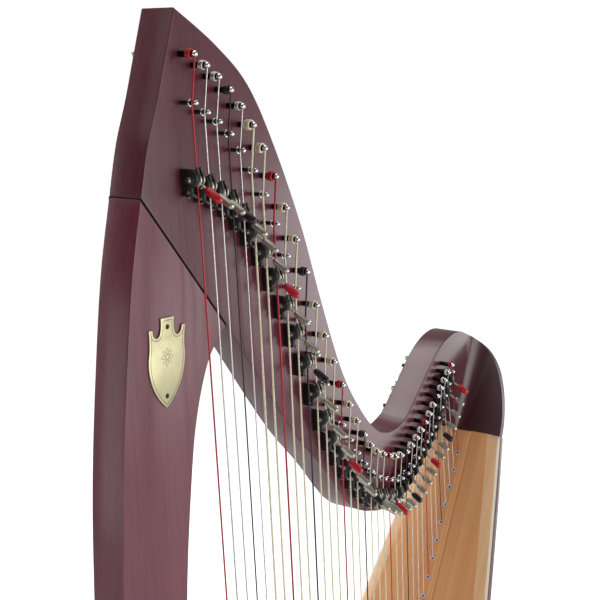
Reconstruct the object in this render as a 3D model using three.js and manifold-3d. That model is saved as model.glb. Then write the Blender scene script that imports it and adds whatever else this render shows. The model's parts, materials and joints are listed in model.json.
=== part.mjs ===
// A lever harp: a carved neck and a bowed pillar joined to a staved soundbox, with a string band
// of C-to-C strings that each pass through a sharping lever. Millimetres, +Z up. The strings and
// levers are on the -Y side of the neck, the pillar is at -X and the soundbox at +X.
import * as THREE from 'three';
import { mergeVertices } from 'three/addons/utils/BufferGeometryUtils.js';
import Module from 'manifold-3d';

const wasm = await Module();
wasm.setup();

// ---- Driving dimensions ----

const TIP_HEIGHT = 1610;          // floor to the pointed tip of the neck
const MIDDLE_X = 258;             // middle of the harp's length, from the head of string 1
const TOUCH_GAP = 0.3;            // clearance between pieces that touch

// Soundboard plane: S runs up the board, N points out of it to the strings.
const BOARD_TILT = THREE.MathUtils.degToRad(31);      // from the vertical
const BOARD_ORIGIN = new THREE.Vector3(527, 0, 1024); // where the shortest string leaves the board
const BOARD_TOP = 29;
const BOARD_THICKNESS = 6;
const BOARD_HALF_TOP = 52;
const BOARD_FLARE = 0.16;         // half-width gained per mm down the board, at the top
const BOARD_FLARE_LOSS = 2.36e-5; // how the flare eases off towards the base
const BOX_DEPTH_TOP = 75;
const BOX_DEPTH_GAIN = 0.184;
const STAVE_THICKNESS = 6;
const BOX_FLOOR = 141;            // height at which the soundbox stands on the base

// Neck and pillar: flat-sided slabs behind the string plane, which is y = 0.
const NECK_NEAR = 13;
const NECK_FAR = 50;
const GASKET_THICKNESS = 1.2;

// Strings
const STRING_COUNT = 36;
const FIRST_GAP = 16.5;
const GAP_LOSS = 3.5;
const GAP_BULGE = 1.14;
const STRING_LEAN = 0.0401;       // x per mm of height, foot towards the player
const TREBLE_FAN = 0.16;          // extra lean of the last string
const FAN_FROM = 27;
const LEAN_HEIGHT = 1088;         // where the strings' spacing is set out
const STRING_RADIUS_BASS = 0.85;
const STRING_RADIUS_TREBLE = 0.5;
const OUTER_RIB = { length: 1026, width: 24, thickness: 2.5 };

// Pins
const TUNING_PIN_RADIUS = 3;      // each string leaves the +X side of its tuning pin
const TUNING_PIN_TIP = -5;
const TUNING_PIN_KEY_END = 66;
const PIN_HOLE_CLEARANCE = 0.6;
const BRIDGE_PIN_RADIUS = 2;      // each string bears on the -X side of its bridge pin
const BRIDGE_PIN_TIP = -4;
const BEARING_BITE = 0.4;         // how far a string sinks into its bridge pin's groove

// Levers: each turns about its own axle, which crosses just behind the string, square to it.
const LEVER_PIVOT_Y = 3;
const LEVER_DROP = 5.5;           // below the bridge pin, plus a share of the string's length
const LEVER_DROP_SHARE = 0.046;
const LEVER_ANGLE = THREE.MathUtils.degToRad(-37);    // handle below the horizontal at rest
const LEVER_REACH = 34;
const GRIP_START = 14;
const GRIP_RADIUS = 2.9;
const CHEEK_INNER = 1.3;          // half of the slot that the string passes through
const CHEEK_OUTER = 2.5;
const AXLE_RADIUS = 1.8;
const HORN_REACH = 12;            // the forked horn above the handle
const TREBLE_HORN_REACH = 8.8;
const TREBLE_LEVERS_FROM = 23;
const HOUSING_FROM = -7;          // the fixed housing stands beside the string
const HOUSING_TO = -2.9;
const HOUSING_NOSE = 8.2;
const HOUSING_TOP = 10;
const HOUSING_BOTTOM = -14;

// Base
const BASE_BOTTOM = 56;
const BASE_MIDDLE = 95;
const PLINTH_BOTTOM = 34;
const PLINTH_SPREAD = 1.03;

// ---- Small helpers ----

const radians = THREE.MathUtils.degToRad;

function material(color, roughness, metalness) {
  return new THREE.MeshStandardMaterial({ color, roughness, metalness });
}

const MATERIALS = {
  mahogany: material(0x5a2a2e, 0.35, 0),
  spruce: material(0xb9895c, 0.5, 0),
  darkWood: material(0x4a2c20, 0.6, 0),
  gasket: material(0x121212, 0.7, 0),
  nickel: material(0x9a958c, 0.3, 1),
  brassPlate: material(0xe2d3a0, 0.35, 0.6),
  strings: material(0xe6dcc4, 0.4, 0),
  rubber: material(0x1b1b1b, 0.8, 0),
};

function named(name, geometry, surface) {
  const mesh = new THREE.Mesh(geometry, surface);
  mesh.name = name;
  return mesh;
}

function toSolid(geometry) {
  const bare = geometry.clone();
  bare.deleteAttribute('normal');
  bare.deleteAttribute('uv');
  const merged = mergeVertices(bare, 1e-4);
  const vertProperties = Float32Array.from(merged.attributes.position.array);
  const triVerts = Uint32Array.from(merged.index.array);
  return new wasm.Manifold(new wasm.Mesh({ numProp: 3, vertProperties, triVerts }));
}

function toGeometry(solid) {
  const mesh = solid.getMesh();
  const geometry = new THREE.BufferGeometry();
  geometry.setAttribute('position', new THREE.BufferAttribute(mesh.vertProperties, 3));
  geometry.setIndex(new THREE.BufferAttribute(mesh.triVerts, 1));
  geometry.computeVertexNormals();
  return geometry;
}

function joinAll(geometries) {
  return geometries.map(toSolid).reduce((whole, next) => whole.add(next));
}

function toShape(points) {
  return new THREE.Shape(points.map(([u, v]) => new THREE.Vector2(u, v)));
}

// Points on a smooth curve through the given ones.
function smooth(points, divisions) {
  const curve = new THREE.SplineCurve(points.map(([u, v]) => new THREE.Vector2(u, v)));
  return curve.getPoints(divisions).map((point) => [point.x, point.y]);
}

// A side outline, drawn in X and Z, made solid between two values of Y.
function acrossY(points, fromY, toY) {
  const geometry = new THREE.ExtrudeGeometry(toShape(points), {
    depth: toY - fromY,
    bevelEnabled: false,
  });
  geometry.rotateX(Math.PI / 2);
  geometry.translate(0, toY, 0);
  return geometry;
}

// An outline drawn in X and Y, made solid between two values of Z.
function acrossZ(points, fromZ, toZ) {
  const geometry = new THREE.ExtrudeGeometry(toShape(points), {
    depth: toZ - fromZ,
    bevelEnabled: false,
  });
  geometry.translate(0, 0, fromZ);
  return geometry;
}

// An outline drawn in Y and Z, made solid between two values of X.
function acrossX(points, fromX, toX) {
  const geometry = acrossZ(points, fromX, toX);
  geometry.rotateX(Math.PI / 2);
  geometry.rotateZ(Math.PI / 2);
  return geometry;
}

function rod(from, to, radius, sides) {
  const along = new THREE.Vector3().subVectors(to, from);
  const geometry = new THREE.CylinderGeometry(radius, radius, along.length(), sides, 1);
  const up = new THREE.Vector3(0, 1, 0);
  geometry.applyQuaternion(new THREE.Quaternion().setFromUnitVectors(up, along.clone().normalize()));
  geometry.translate((from.x + to.x) / 2, (from.y + to.y) / 2, (from.z + to.z) / 2);
  return geometry;
}

// A closed skin through a row of outlines that all have the same number of corners.
function loft(sections) {
  const corners = sections[0].length;
  const positions = sections.flat().flat();
  const faces = [];
  for (let row = 0; row + 1 < sections.length; row += 1) {
    for (let corner = 0; corner < corners; corner += 1) {
      const next = (corner + 1) % corners;
      const low = row * corners;
      const high = low + corners;
      faces.push(low + corner, high + next, low + next);
      faces.push(low + corner, high + corner, high + next);
    }
  }
  const last = (sections.length - 1) * corners;
  for (let corner = 1; corner + 1 < corners; corner += 1) {
    faces.push(0, corner, corner + 1);
    faces.push(last, last + corner + 1, last + corner);
  }
  const geometry = new THREE.BufferGeometry();
  geometry.setAttribute('position', new THREE.Float32BufferAttribute(positions, 3));
  geometry.setIndex(faces);
  geometry.computeVertexNormals();
  return geometry;
}

// ---- The board's own frame ----

const BOARD_S = new THREE.Vector3(Math.sin(BOARD_TILT), 0, Math.cos(BOARD_TILT));
const BOARD_N = new THREE.Vector3(-Math.cos(BOARD_TILT), 0, Math.sin(BOARD_TILT));

function boardGroup() {
  const group = new THREE.Group();
  group.position.copy(BOARD_ORIGIN);
  group.rotation.y = BOARD_TILT - Math.PI / 2;
  return group;
}

function onBoard(s, y, n) {
  const point = BOARD_ORIGIN.clone().addScaledVector(BOARD_S, s).addScaledVector(BOARD_N, n);
  point.y = y;
  return point;
}

function boardHalfWidth(s) {
  const down = BOARD_TOP - s;
  return BOARD_HALF_TOP + BOARD_FLARE * down - BOARD_FLARE_LOSS * down * down;
}

// Everything of the soundbox stops at the base, whose top is level.
function cutAtBase(geometry) {
  const size = 3000;
  const room = new THREE.BoxGeometry(size, size, size);
  room.translate(0, 0, BOX_FLOOR + TOUCH_GAP + size / 2);
  room.translate(-BOARD_ORIGIN.x, 0, -BOARD_ORIGIN.z);
  room.rotateY(Math.PI / 2 - BOARD_TILT);
  return toSolid(geometry).intersect(toSolid(room));
}

// ---- Outlines of the neck and pillar, in X and Z ----

const TIP = [-21, TIP_HEIGHT];
const JOINT_FRONT = [-77, 1452];
const JOINT_INNER = [34, 1316];
const NECK_TOP = [
  TIP, [36, 1577], [84, 1538], [126, 1474], [170, 1388], [204, 1304], [244, 1215], [281, 1160],
  [320, 1119], [357, 1103], [396, 1108], [436, 1136], [483, 1171], [521, 1185], [558, 1183],
];
const NECK_LOWER = [
  JOINT_INNER, [60, 1282], [141, 1175], [201, 1110], [260, 1043], [308, 1016], [357, 1006],
  [414, 1024], [473, 1061], [503, 1066],
];
const NECK_FRONT = [JOINT_FRONT, [-65, 1495], [-50, 1531], [-37, 1566], TIP];
const PILLAR_FRONT = [
  JOINT_FRONT, [-94, 1385], [-108, 1302], [-121, 1205], [-129, 1103], [-140, 895], [-143, 746],
  [-139, 597], [-126, 399], [-105, BOX_FLOOR + TOUCH_GAP],
];
const PILLAR_INNER = [
  [-15, BOX_FLOOR + TOUCH_GAP], [-40, 399], [-51, 597], [-54, 746], [-51, 895], [-43, 1061],
  [-27, 1183], [-14, 1242], [6, 1288], JOINT_INNER,
];

// The joint between pillar and neck is a straight slanting cut, filled by a thin dark gasket.
const JOINT_ALONG = new THREE.Vector2(...JOINT_INNER).sub(new THREE.Vector2(...JOINT_FRONT)).normalize();
const JOINT_ACROSS = new THREE.Vector2(-JOINT_ALONG.y, JOINT_ALONG.x);

function offJoint([x, z], distance) {
  return [x + JOINT_ACROSS.x * distance, z + JOINT_ACROSS.y * distance];
}

const NECK_SIDE = GASKET_THICKNESS / 2 + TOUCH_GAP;
const SHOULDER_TOP = 157.5;         // height of the head's crest up the board

function sideOutline() {
  const crest = onBoard(SHOULDER_TOP, 0, TOUCH_GAP);
  const root = onBoard(BOARD_TOP + 4, 0, TOUCH_GAP);
  const top = smooth([...NECK_TOP, [crest.x, crest.z]], 44);
  const lower = smooth([...NECK_LOWER, [root.x, root.z]], 26).reverse();
  const front = smooth(NECK_FRONT, 6).slice(1, -1);
  lower[lower.length - 1] = offJoint(JOINT_INNER, NECK_SIDE);
  return [...top, ...lower, offJoint(JOINT_FRONT, NECK_SIDE), ...front];
}

function makeGasket() {
  const half = GASKET_THICKNESS / 2;
  const outline = [
    offJoint(JOINT_FRONT, -half), offJoint(JOINT_INNER, -half),
    offJoint(JOINT_INNER, half), offJoint(JOINT_FRONT, half),
  ];
  return named('pillar_gasket', acrossY(outline, NECK_NEAR, NECK_FAR), MATERIALS.gasket);
}

function makePillar() {
  const front = smooth(PILLAR_FRONT, 22);
  const inner = smooth(PILLAR_INNER, 22);
  front[0] = offJoint(JOINT_FRONT, -NECK_SIDE);
  inner[inner.length - 1] = offJoint(JOINT_INNER, -NECK_SIDE);
  return named('pillar', acrossY([...front, ...inner], NECK_NEAR, NECK_FAR), MATERIALS.mahogany);
}

// ---- The string band ----

const BRIDGE_LINE = smooth([
  [-17, 1528], [34, 1496], [83, 1435], [136, 1330], [190, 1208], [240, 1129], [287, 1076],
  [331, 1051], [358, 1043], [385, 1048], [423, 1068], [460, 1093], [500, 1143], [515, 1165],
], 260);
const TUNING_LINE = smooth([
  [-14, 1571], [38, 1536], [87, 1480], [141, 1378], [194, 1261], [242, 1172], [289, 1110],
  [330, 1085], [360, 1075], [387, 1078], [425, 1097], [461, 1125], [500, 1155], [515, 1166],
], 260);

function heightOn(line, x) {
  let after = line.findIndex((point) => point[0] > x);
  after = after < 1 ? 1 : after;
  const [x0, z0] = line[after - 1];
  const [x1, z1] = line[after];
  return z0 + ((x - x0) * (z1 - z0)) / (x1 - x0);
}

// Where each string leaves the board, crosses its lever, passes its bridge pin and is wound up.
function layOutString(number) {
  let along = 0;
  for (let gap = 0; gap < number - 1; gap += 1) {
    const share = gap / (STRING_COUNT - 2);
    along += FIRST_GAP - GAP_LOSS * share + GAP_BULGE * share * (1 - share);
  }
  const s = (along + (LEAN_HEIGHT - BOARD_ORIGIN.z) * STRING_LEAN - BOARD_ORIGIN.x)
    / (BOARD_S.x + BOARD_S.z * STRING_LEAN);
  const foot = onBoard(s, 0, 1.2);
  const fan = Math.max(0, (number - FAN_FROM) / (STRING_COUNT - FAN_FROM)) ** 1.5;
  const lean = STRING_LEAN + TREBLE_FAN * fan;
  const bridge = new THREE.Vector3(foot.x, 0, 0);
  const passes = 40;
  for (let pass = 0; pass < passes; pass += 1) {
    bridge.z = heightOn(BRIDGE_LINE, bridge.x);
    bridge.x += 0.5 * (foot.x - lean * (bridge.z - foot.z) - bridge.x);
  }
  const length = bridge.distanceTo(foot);
  const drop = LEVER_DROP + LEVER_DROP_SHARE * length;
  const pivot = new THREE.Vector3(bridge.x + lean * drop, LEVER_PIVOT_Y, bridge.z - drop);
  const turn = -Math.atan(lean);
  const sideStep = THREE.MathUtils.lerp(5, -1, (number - 1) / (STRING_COUNT - 1));
  const tuningX = bridge.x + sideStep;
  const tuning = new THREE.Vector3(tuningX, 0, heightOn(TUNING_LINE, tuningX));
  return { number, s, foot, bridge, pivot, tuning, turn };
}

const STRINGS = Array.from({ length: STRING_COUNT }, (_, index) => layOutString(index + 1));

// The outer string rib with the strings made fast in it, and the pins that carry them.
function makeStringBand() {
  const { length, width, thickness } = OUTER_RIB;
  const rib = new THREE.BoxGeometry(length, width, thickness);
  rib.translate(BOARD_TOP - 2 - length / 2, 0, TOUCH_GAP + thickness / 2);
  rib.rotateY(BOARD_TILT - Math.PI / 2);
  rib.translate(BOARD_ORIGIN.x, BOARD_ORIGIN.y, BOARD_ORIGIN.z);
  const pieces = [rib];
  for (const { number, foot, bridge, tuning } of STRINGS) {
    const share = (number - 1) / (STRING_COUNT - 1);
    const radius = THREE.MathUtils.lerp(STRING_RADIUS_BASS, STRING_RADIUS_TREBLE, share);
    const end = bridge.clone();
    end.z += 1;
    pieces.push(rod(foot, end, radius, 4));
    pieces.push(rod(bridge, tuning, radius, 4));
    const bridgeX = bridge.x + BRIDGE_PIN_RADIUS - BEARING_BITE;
    const root = new THREE.Vector3(bridgeX, NECK_NEAR - TOUCH_GAP, bridge.z);
    const head = new THREE.Vector3(bridgeX, BRIDGE_PIN_TIP, bridge.z);
    pieces.push(rod(root, head, BRIDGE_PIN_RADIUS, 5));
    const key = new THREE.Vector3(tuning.x - TUNING_PIN_RADIUS, TUNING_PIN_KEY_END, tuning.z);
    const tip = new THREE.Vector3(tuning.x - TUNING_PIN_RADIUS, TUNING_PIN_TIP, tuning.z);
    pieces.push(rod(key, tip, TUNING_PIN_RADIUS, 6));
  }
  return named('string_band', toGeometry(joinAll(pieces)), MATERIALS.strings);
}

// ---- Neck, with its pin holes and the fixed lever housings ----

// Side view of a housing, in Y and Z about the lever's axle: a block with a round nose.
function housingOutline() {
  const back = NECK_NEAR - LEVER_PIVOT_Y + 0.5;
  const nose = [];
  for (let step = 0; step <= 4; step += 1) {
    const turn = radians(90 + 40 * step);
    nose.push([HOUSING_NOSE * Math.cos(turn), HOUSING_NOSE * Math.sin(turn)]);
  }
  return [[back, HOUSING_TOP], ...nose, [4, HOUSING_BOTTOM], [back, HOUSING_BOTTOM]];
}

function makeNeck() {
  let wood = toSolid(acrossY(sideOutline(), NECK_NEAR, NECK_FAR));
  const holes = STRINGS.map(({ tuning }) => rod(
    new THREE.Vector3(tuning.x - TUNING_PIN_RADIUS, NECK_NEAR - 5, tuning.z),
    new THREE.Vector3(tuning.x - TUNING_PIN_RADIUS, NECK_FAR + 5, tuning.z),
    TUNING_PIN_RADIUS + PIN_HOLE_CLEARANCE,
    6,
  ));
  wood = wood.subtract(joinAll(holes));
  for (const { pivot, turn } of STRINGS) {
    const housing = acrossX(housingOutline(), HOUSING_FROM, HOUSING_TO);
    housing.rotateY(turn);
    housing.translate(pivot.x, pivot.y, pivot.z);
    wood = wood.add(toSolid(housing));
  }
  return named('neck', toGeometry(wood), MATERIALS.mahogany);
}

// ---- Levers ----

// A point at a distance and angle from the axle, in Y and Z. The angle is above the -Y direction.
function aboutAxle(distance, degrees) {
  const turn = radians(degrees);
  return [-distance * Math.cos(turn), distance * Math.sin(turn)];
}

function cheekOutline(hornReach) {
  return [
    aboutAxle(3.2, 150), aboutAxle(3.2, -150), aboutAxle(11, -50), aboutAxle(11.5, -26),
    aboutAxle(hornReach, 44), aboutAxle(hornReach, 60), aboutAxle(6, 90),
  ].reverse();
}

function makeLeverGeometry(hornReach) {
  const outline = cheekOutline(hornReach);
  const outward = new THREE.Vector3(0, -Math.cos(LEVER_ANGLE), Math.sin(LEVER_ANGLE));
  const along = (distance) => outward.clone().multiplyScalar(distance);
  const axleEnd = CHEEK_OUTER - 0.2;
  const pieces = [
    acrossX(outline, -CHEEK_OUTER, -CHEEK_INNER),
    acrossX(outline, CHEEK_INNER, CHEEK_OUTER),
    rod(new THREE.Vector3(-axleEnd, 0, 0), new THREE.Vector3(axleEnd, 0, 0), AXLE_RADIUS, 6),
    rod(along(8.8), along(GRIP_START + 1), 2, 4),
    rod(along(GRIP_START), along(LEVER_REACH), GRIP_RADIUS, 6),
  ];
  return toGeometry(joinAll(pieces));
}

function makeLevers() {
  const large = makeLeverGeometry(HORN_REACH);
  const small = makeLeverGeometry(TREBLE_HORN_REACH);
  return STRINGS.map(({ number, pivot, turn }) => {
    const geometry = number < TREBLE_LEVERS_FROM ? large : small;
    const lever = named(`lever_${String(number).padStart(2, '0')}`, geometry, MATERIALS.nickel);
    lever.position.copy(pivot);
    lever.rotation.y = turn;
    return lever;
  });
}

// ---- Shoulder: the rounded head where the neck meets the soundbox ----

const SHOULDER_LOW = BOARD_TOP + TOUCH_GAP;
const COVE_RADIUS = 24;           // the hollow that runs from its front up to the neck's near side

// Front view, drawn up the board and across it: an arch that rises to the neck's top.
const SHOULDER_ARCH = smooth([
  [SHOULDER_LOW, -53], [52, -51], [78, -45], [101, -37], [121, -27], [133, -19], [144, -9],
  [152, 1], [155.5, 9], [157, 15], [SHOULDER_TOP, 25],
], 24);

// Side view, drawn up the board and back from it.
const SHOULDER_SIDE = smooth([
  [SHOULDER_TOP, 0], [156, -30], [145, -62], [120, -79], [80, -84], [SHOULDER_LOW, -80],
], 12);

// Section, drawn across the board and back from it, as deep as the staves below.
const SHOULDER_SECTION = [
  [-53, 0], [-51.6, -12], [-47.5, -24], [-40, -40], [-29, -58], [-20, -72], [-12, -80], [-1, -84],
  [10, -80], [19, -72], [27, -58], [38, -40], [45.5, -24], [49, -12], [NECK_FAR, 0],
];

function makeShoulder() {
  const far = [[SHOULDER_TOP, NECK_FAR], [SHOULDER_LOW, NECK_FAR]];
  const byFront = toSolid(acrossZ([...SHOULDER_ARCH, ...far], -120, 60));
  const bySide = toSolid(acrossY([[SHOULDER_LOW, 0], ...SHOULDER_SIDE], -60, 60));
  const bySection = toSolid(acrossX(SHOULDER_SECTION, 0, 200));
  const head = byFront.intersect(bySide).intersect(bySection);
  const edge = NECK_NEAR - TOUCH_GAP;
  const cove = [[edge, -2], [edge, COVE_RADIUS]];
  for (let step = 1; step <= 5; step += 1) {
    const turn = radians(18 * step);
    const y = edge - COVE_RADIUS * (1 - Math.cos(turn));
    cove.push([y, COVE_RADIUS * (1 - Math.sin(turn))]);
  }
  cove.push([edge - COVE_RADIUS, -2]);
  const filler = toSolid(acrossX(cove, SHOULDER_LOW, 154)).intersect(byFront);
  return named('shoulder', toGeometry(head.add(filler)), MATERIALS.mahogany);
}

// ---- Soundbox ----

const STATION_STEPS = 5;
const LOWEST_STATION = -1200;

function stations(from) {
  const step = (LOWEST_STATION - from) / STATION_STEPS;
  return Array.from({ length: STATION_STEPS + 1 }, (_, index) => from + step * index);
}

function makeSoundboard() {
  const near = stations(BOARD_TOP).map((s) => [s, -boardHalfWidth(s)]);
  const far = near.map(([s, y]) => [s, -y]).reverse();
  const board = acrossZ([...near, ...far], -BOARD_THICKNESS, 0);
  return named('soundboard', toGeometry(cutAtBase(board)), MATERIALS.spruce);
}

// Corners of the staved shell at one station, in Y and N, and the same corners moved inwards.
function shellCorners(s, inset) {
  const half = boardHalfWidth(s);
  const depth = BOX_DEPTH_TOP + BOX_DEPTH_GAIN * (BOARD_TOP - s);
  const start = BOARD_THICKNESS + TOUCH_GAP;
  const outer = [[-half, -start], [-0.74 * half, -0.58 * depth], [-0.36 * half, -depth]];
  const mirrored = outer.map(([y, n]) => [-y, n]).reverse();
  const corners = [...outer, ...mirrored];
  return corners.map(([y, n], index) => {
    const before = corners[Math.max(index - 1, 0)];
    const after = corners[Math.min(index + 1, corners.length - 1)];
    const into = new THREE.Vector2(before[1] - after[1], after[0] - before[0]).normalize();
    const atRim = index === 0 || index === corners.length - 1;
    return atRim ? [y + Math.sign(into.x) * inset, n] : [y + into.x * inset, n + into.y * inset];
  });
}

// Neighbouring staves are drawn apart at their shared corner by a small share of their width.
const STAVE_PARTING = 0.0075;

function makeStave(name, index) {
  const sections = stations(BOARD_TOP).map((s) => {
    const outer = shellCorners(s, 0);
    const inner = shellCorners(s, STAVE_THICKNESS);
    const between = (from, to) => [
      s,
      THREE.MathUtils.lerp(from[0], to[0], STAVE_PARTING),
      THREE.MathUtils.lerp(from[1], to[1], STAVE_PARTING),
    ];
    return [
      between(outer[index], outer[index + 1]), between(outer[index + 1], outer[index]),
      between(inner[index + 1], inner[index]), between(inner[index], inner[index + 1]),
    ];
  });
  return named(name, toGeometry(cutAtBase(loft(sections))), MATERIALS.mahogany);
}

const SOUND_HOLES = [-150, -350, -570, -780];

function makeBackPanel() {
  const panel = makeStave('back_panel', 2);
  let solid = toSolid(panel.geometry);
  for (const s of SOUND_HOLES) {
    const across = 0.25 * boardHalfWidth(s);
    const hole = new THREE.CylinderGeometry(1, 1, 600, 16);
    hole.rotateX(Math.PI / 2);
    hole.scale(1.5 * across + 10, across, 1);
    hole.translate(s, 0, -300);
    solid = solid.subtract(toSolid(hole));
  }
  return named('back_panel', toGeometry(solid), MATERIALS.mahogany);
}

function makeInnerRib() {
  const rib = new THREE.BoxGeometry(1000, 28, 6);
  rib.translate(-490, 0, -BOARD_THICKNESS - TOUCH_GAP - 3);
  return named('inner_string_rib', rib, MATERIALS.darkWood);
}

function makeFrames() {
  const frameWidth = 12;
  return [-250, -470, -680].map((s, index) => {
    const outer = shellCorners(s + frameWidth, STAVE_THICKNESS + 1);
    const inner = shellCorners(s + frameWidth, STAVE_THICKNESS + 15).reverse();
    const underBoard = -BOARD_THICKNESS - 2 * TOUCH_GAP;
    const outline = [...outer, ...inner].map(([y, n]) => [y, Math.min(n, underBoard)]);
    const geometry = acrossX(outline.reverse(), s, s + frameWidth);
    return named(`body_frame_${index + 1}`, geometry, MATERIALS.darkWood);
  });
}

// ---- Base ----

function makeBase() {
  const near = [
    [-120, -26], [-112, -52], [-72, -74], [-46, -118], [-32, -172], [-4, -199], [60, -200],
    [160, -170], [250, -124], [296, -84], [306, 0],
  ];
  const outlineNear = smooth(near, 24);
  const outlineFar = outlineNear.slice(0, -1).map(([x, y]) => [x, -y]).reverse();
  const outline = [...outlineNear, ...outlineFar];
  const wider = outline.map(([x, y]) => [
    BASE_MIDDLE + (x - BASE_MIDDLE) * PLINTH_SPREAD, y * PLINTH_SPREAD,
  ]);
  const plinth = acrossZ(wider, PLINTH_BOTTOM, BASE_BOTTOM - TOUCH_GAP);
  return [
    named('base_block', acrossZ(outline, BASE_BOTTOM, BOX_FLOOR), MATERIALS.mahogany),
    named('plinth', plinth, MATERIALS.mahogany),
  ];
}

function makeFeet() {
  const top = PLINTH_BOTTOM - TOUCH_GAP;
  const profile = [[0, 0], [12, 0], [15, 4], [19, 24], [19, top], [0, top]];
  const foot = new THREE.LatheGeometry(profile.map(([r, z]) => new THREE.Vector2(r, z)), 12);
  foot.rotateX(Math.PI / 2);
  const places = [
    ['front_near', -78, -30], ['front_far', -78, 30], ['back_near', 262, -70], ['back_far', 262, 70],
  ];
  return places.map(([where, x, y]) => {
    const mesh = named(`foot_${where}`, foot, MATERIALS.rubber);
    mesh.position.set(x, y, 0);
    return mesh;
  });
}

// ---- Name plate ----

function makePlate() {
  const group = new THREE.Group();
  const half = new THREE.Path();
  half.moveTo(0, 0);
  half.lineTo(9, 0);
  half.bezierCurveTo(8, -9, 9, -17, 14, -17);
  half.bezierCurveTo(19, -17, 20, -13, 20, -9.5);
  half.lineTo(25, -9);
  half.quadraticCurveTo(22.5, -22, 25, -36);
  half.bezierCurveTo(25, -58, 13, -74, 0, -83);
  const right = half.getPoints(5).map((point) => [point.x, point.y]);
  const left = right.slice(1, -1).map(([u, v]) => [-u, v]).reverse();
  const face = -1.2;
  group.add(named('name_plate', acrossY([...right, ...left], face, 0), MATERIALS.brassPlate));
  [['upper', -8.5], ['lower', -72]].forEach(([where, v]) => {
    const from = new THREE.Vector3(0, face - TOUCH_GAP, v);
    const head = rod(from, new THREE.Vector3(0, 2 * face, v), 1.9, 10);
    group.add(named(`plate_screw_${where}`, head, MATERIALS.nickel));
  });
  group.position.set(-52.5, NECK_NEAR - TOUCH_GAP, 1343);
  group.rotation.y = radians(4.6);
  return group;
}

// ---- Assembly ----

const group = new THREE.Group();
group.position.x = -MIDDLE_X;
group.add(makePillar(), makeGasket(), makeNeck(), makeStringBand(), ...makeLevers(), makePlate());
group.add(...makeBase(), ...makeFeet());

const soundbox = boardGroup();
soundbox.add(makeShoulder(), makeSoundboard(), makeInnerRib(), ...makeFrames(), makeBackPanel());
soundbox.add(makeStave('near_side_stave', 0), makeStave('near_back_stave', 1));
soundbox.add(makeStave('far_back_stave', 3), makeStave('far_side_stave', 4));
group.add(soundbox);

export default group;
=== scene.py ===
import json
import math
import random

import bmesh
import bpy
from mathutils import Matrix, Vector


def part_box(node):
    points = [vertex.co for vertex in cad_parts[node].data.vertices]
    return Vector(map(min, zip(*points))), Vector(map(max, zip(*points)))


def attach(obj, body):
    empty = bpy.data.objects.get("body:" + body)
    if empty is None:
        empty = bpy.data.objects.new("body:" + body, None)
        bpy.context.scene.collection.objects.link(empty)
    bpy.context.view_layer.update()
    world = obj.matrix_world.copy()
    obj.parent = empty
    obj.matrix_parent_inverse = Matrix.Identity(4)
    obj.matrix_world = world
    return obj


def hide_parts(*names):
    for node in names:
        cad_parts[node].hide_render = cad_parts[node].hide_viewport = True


# The looks of a lever harp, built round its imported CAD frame. Shapes are made in millimetres in the
# harp's own frame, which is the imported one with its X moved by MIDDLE_X, and Shape.finish turns them
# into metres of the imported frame. The strings and levers are on the -Y side of the neck, and the
# strings' own plane is Y = 0.

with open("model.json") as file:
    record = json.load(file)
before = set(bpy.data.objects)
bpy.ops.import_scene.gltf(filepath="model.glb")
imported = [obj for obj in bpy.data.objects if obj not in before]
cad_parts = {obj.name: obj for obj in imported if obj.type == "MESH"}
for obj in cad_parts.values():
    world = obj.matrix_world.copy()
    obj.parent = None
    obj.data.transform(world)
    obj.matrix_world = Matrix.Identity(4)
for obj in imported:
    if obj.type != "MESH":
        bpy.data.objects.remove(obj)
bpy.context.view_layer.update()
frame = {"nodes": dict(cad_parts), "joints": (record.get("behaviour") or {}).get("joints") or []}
random.seed(36)

MM = 0.001
MIDDLE_X = 258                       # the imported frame's X = 0, in the harp's own frame
BOARD_TILT = math.radians(31)        # of the soundboard, from the vertical
BOARD_ORIGIN = Vector((527, 0, 1024))  # where the shortest string leaves the board
BOARD_UP = Vector((math.sin(BOARD_TILT), 0, math.cos(BOARD_TILT)))
BOARD_OUT = Vector((-math.cos(BOARD_TILT), 0, math.sin(BOARD_TILT)))
BOARD_TOP = 29                       # the soundboard's ends, up the board from its origin
BOARD_LOW = -1130
BOX_FLOOR = 141.3                    # height at which pillar and soundboard stand on the base
NECK_NEAR = 13                       # the near and far faces of neck and pillar
NECK_FAR = 50
EDGE = 1.0                           # rounding of the wooden edges
LEVER_DROP = 5.5                     # of a lever's axle below its bridge pin, plus a share
LEVER_DROP_SHARE = 0.046             # of the string's length

# Which strings, counted from the bass, differ from those before them.
FIRST_GUT = 6
SMALL_CAPS_FROM = 22                 # smaller axle caps
TREBLE_LEVERS_FROM = 23              # smaller cams and shorter handles
FIRST_NYLON = 24
SMALL_FLANGES_FROM = 29              # slimmer flanges on the bridge pins
C_NOTE, F_NOTE = 0, 3                # notes whose strings and handles are coloured

# The camera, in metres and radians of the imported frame.
CAMERA_PLACE = Vector((-1.0419, -0.6186, 1.588))
CAMERA_YAW = 0.98238
CAMERA_PITCH = 0.23755
CAMERA_ROLL = -0.02397
CAMERA_LENS = 66.74


def add_object(name, data):
    made = bpy.data.objects.new(name, data)
    bpy.context.scene.collection.objects.link(made)
    return made


# ---- Camera ----

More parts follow.
